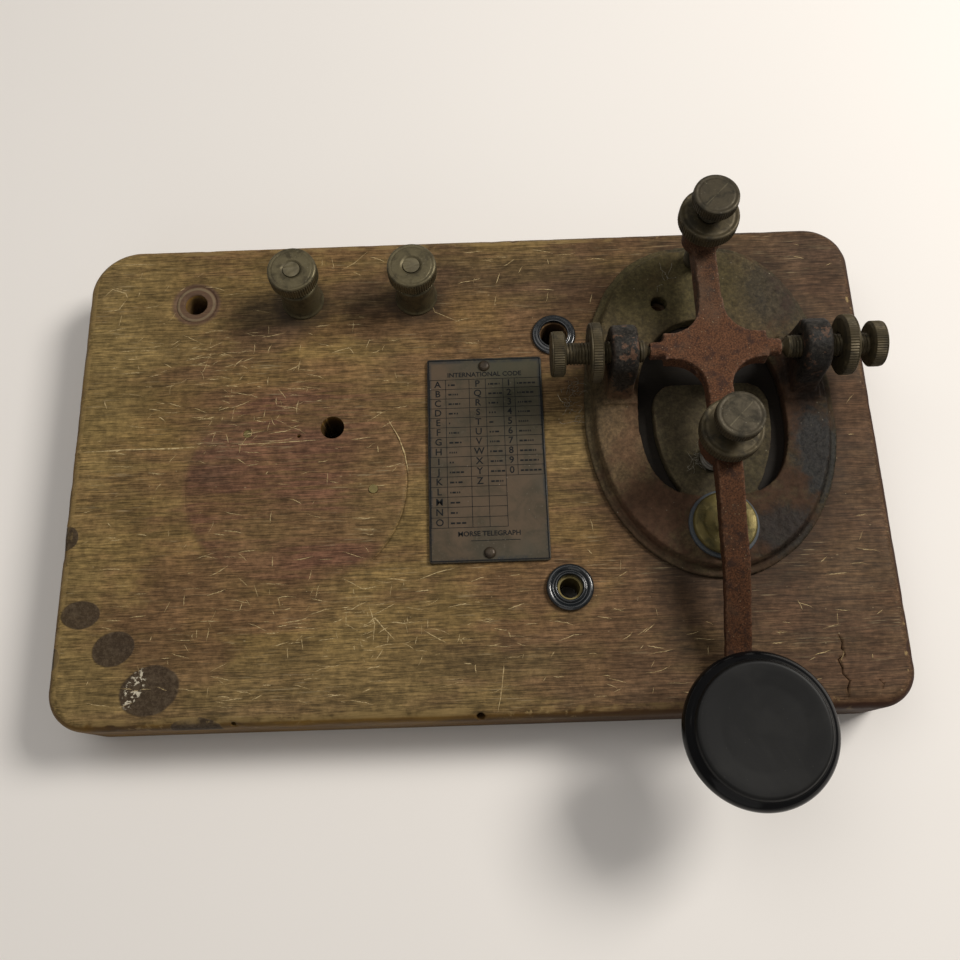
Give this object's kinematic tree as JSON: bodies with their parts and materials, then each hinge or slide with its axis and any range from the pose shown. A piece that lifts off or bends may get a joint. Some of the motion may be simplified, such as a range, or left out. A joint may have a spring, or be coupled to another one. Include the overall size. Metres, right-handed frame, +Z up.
{
  "type": "telegraph key",
  "caption": "Morse telegraph practice key with knurled adjusting screws and black knob, on a wooden board with binding posts and code plate.",
  "frame": {"origin": "centre of the board's flat underside", "axes": "+X along the board towards the key's side, +Y away from the knob towards the rear edge, +Z up"},
  "size_m": [0.2032, 0.1489, 0.0532],
  "materials": {
    "varnished_wood": "worn varnish",
    "painted_iron": "worn black paint over iron",
    "rusted_steel": "even fine rust",
    "plain_steel": "dull",
    "old_brass": "tarnished",
    "aged_brass": "grey-brown patina",
    "japanned_brass": "black japan worn at the edges",
    "fibre": "pressed fibre",
    "dark_plate": "dull grey-green",
    "black_gloss": "glossy",
    "knob_black": "satin hard rubber"
  },
  "bodies": {
    "board": {"wooden_board": "varnished_wood", "key_base": "painted_iron", "contact_stud": "old_brass", "contact_washer": "fibre", "contact_sleeve": "fibre", "contact_under_washer": "old_brass", "contact_nut": "old_brass", "base_screw": "plain_steel", "strap_contact": "old_brass", "strap_base": "old_brass", "terminal_body_left": "japanned_brass", "terminal_body_right": "japanned_brass", "terminal_screw_left": "old_brass", "terminal_screw_right": "old_brass", "code_plate": "dark_plate", "plate_pins": "plain_steel", "jack_bushing": "black_gloss", "jack_sleeve": "old_brass", "board_washer": "black_gloss", "screw_remnants": "old_brass", "lever_spring": "plain_steel"},
    "lever": {"lever": "rusted_steel", "lever_contact": "old_brass", "knob": "knob_black", "knob_screw": "plain_steel"},
    "gap_screw": {"gap_screw": "aged_brass"},
    "gap_nut": {"gap_nut": "aged_brass"},
    "tension_screw": {"tension_screw": "aged_brass"},
    "tension_nut": {"tension_nut": "aged_brass"},
    "trunnion_screw_left": {"trunnion_screw_left": "aged_brass"},
    "trunnion_nut_left": {"trunnion_nut_left": "aged_brass"},
    "trunnion_screw_right": {"trunnion_screw_right": "aged_brass"},
    "trunnion_nut_right": {"trunnion_nut_right": "aged_brass"},
    "terminal_nut_left": {"terminal_nut_left": "japanned_brass"},
    "terminal_nut_right": {"terminal_nut_right": "japanned_brass"}
  },
  "joints": [
    {"name": "lever_rock", "type": "hinge", "parent": "board", "child": "lever", "pos_m": [0.059, 0.0203, 0.035], "axis": [1, 0, 0], "range_deg": [0, 1.36], "stiffness_Nm_per_rad": 0.54, "springref_deg": -4.87, "deforming": ["lever_spring"]},
    {"name": "gap_screw_turn", "type": "hinge", "parent": "lever", "child": "gap_screw", "pos_m": [0.059, 0.0513, 0.045], "axis": [0, 0, 1], "continuous": true},
    {"name": "gap_nut_turn", "type": "hinge", "parent": "lever", "child": "gap_nut", "pos_m": [0.059, 0.0513, 0.0435], "axis": [0, 0, 1], "continuous": true},
    {"name": "tension_screw_turn", "type": "hinge", "parent": "lever", "child": "tension_screw", "pos_m": [0.059, -0.003, 0.045], "axis": [0, 0, 1], "continuous": true},
    {"name": "tension_nut_turn", "type": "hinge", "parent": "lever", "child": "tension_nut", "pos_m": [0.059, -0.003, 0.041], "axis": [0, 0, 1], "continuous": true},
    {"name": "trunnion_screw_left_turn", "type": "hinge", "parent": "board", "child": "trunnion_screw_left", "pos_m": [0.021, 0.0203, 0.035], "axis": [1, 0, 0], "continuous": true},
    {"name": "trunnion_nut_left_turn", "type": "hinge", "parent": "board", "child": "trunnion_nut_left", "pos_m": [0.03, 0.0203, 0.035], "axis": [1, 0, 0], "continuous": true},
    {"name": "trunnion_screw_right_turn", "type": "hinge", "parent": "board", "child": "trunnion_screw_right", "pos_m": [0.097, 0.0203, 0.035], "axis": [1, 0, 0], "continuous": true},
    {"name": "trunnion_nut_right_turn", "type": "hinge", "parent": "board", "child": "trunnion_nut_right", "pos_m": [0.09, 0.0203, 0.035], "axis": [1, 0, 0], "continuous": true},
    {"name": "terminal_nut_left_turn", "type": "hinge", "parent": "board", "child": "terminal_nut_left", "pos_m": [-0.0439, 0.0461, 0.033], "axis": [0, 0, 1], "continuous": true},
    {"name": "terminal_nut_right_turn", "type": "hinge", "parent": "board", "child": "terminal_nut_right", "pos_m": [-0.0139, 0.0461, 0.033], "axis": [0, 0, 1], "continuous": true}
  ]
}
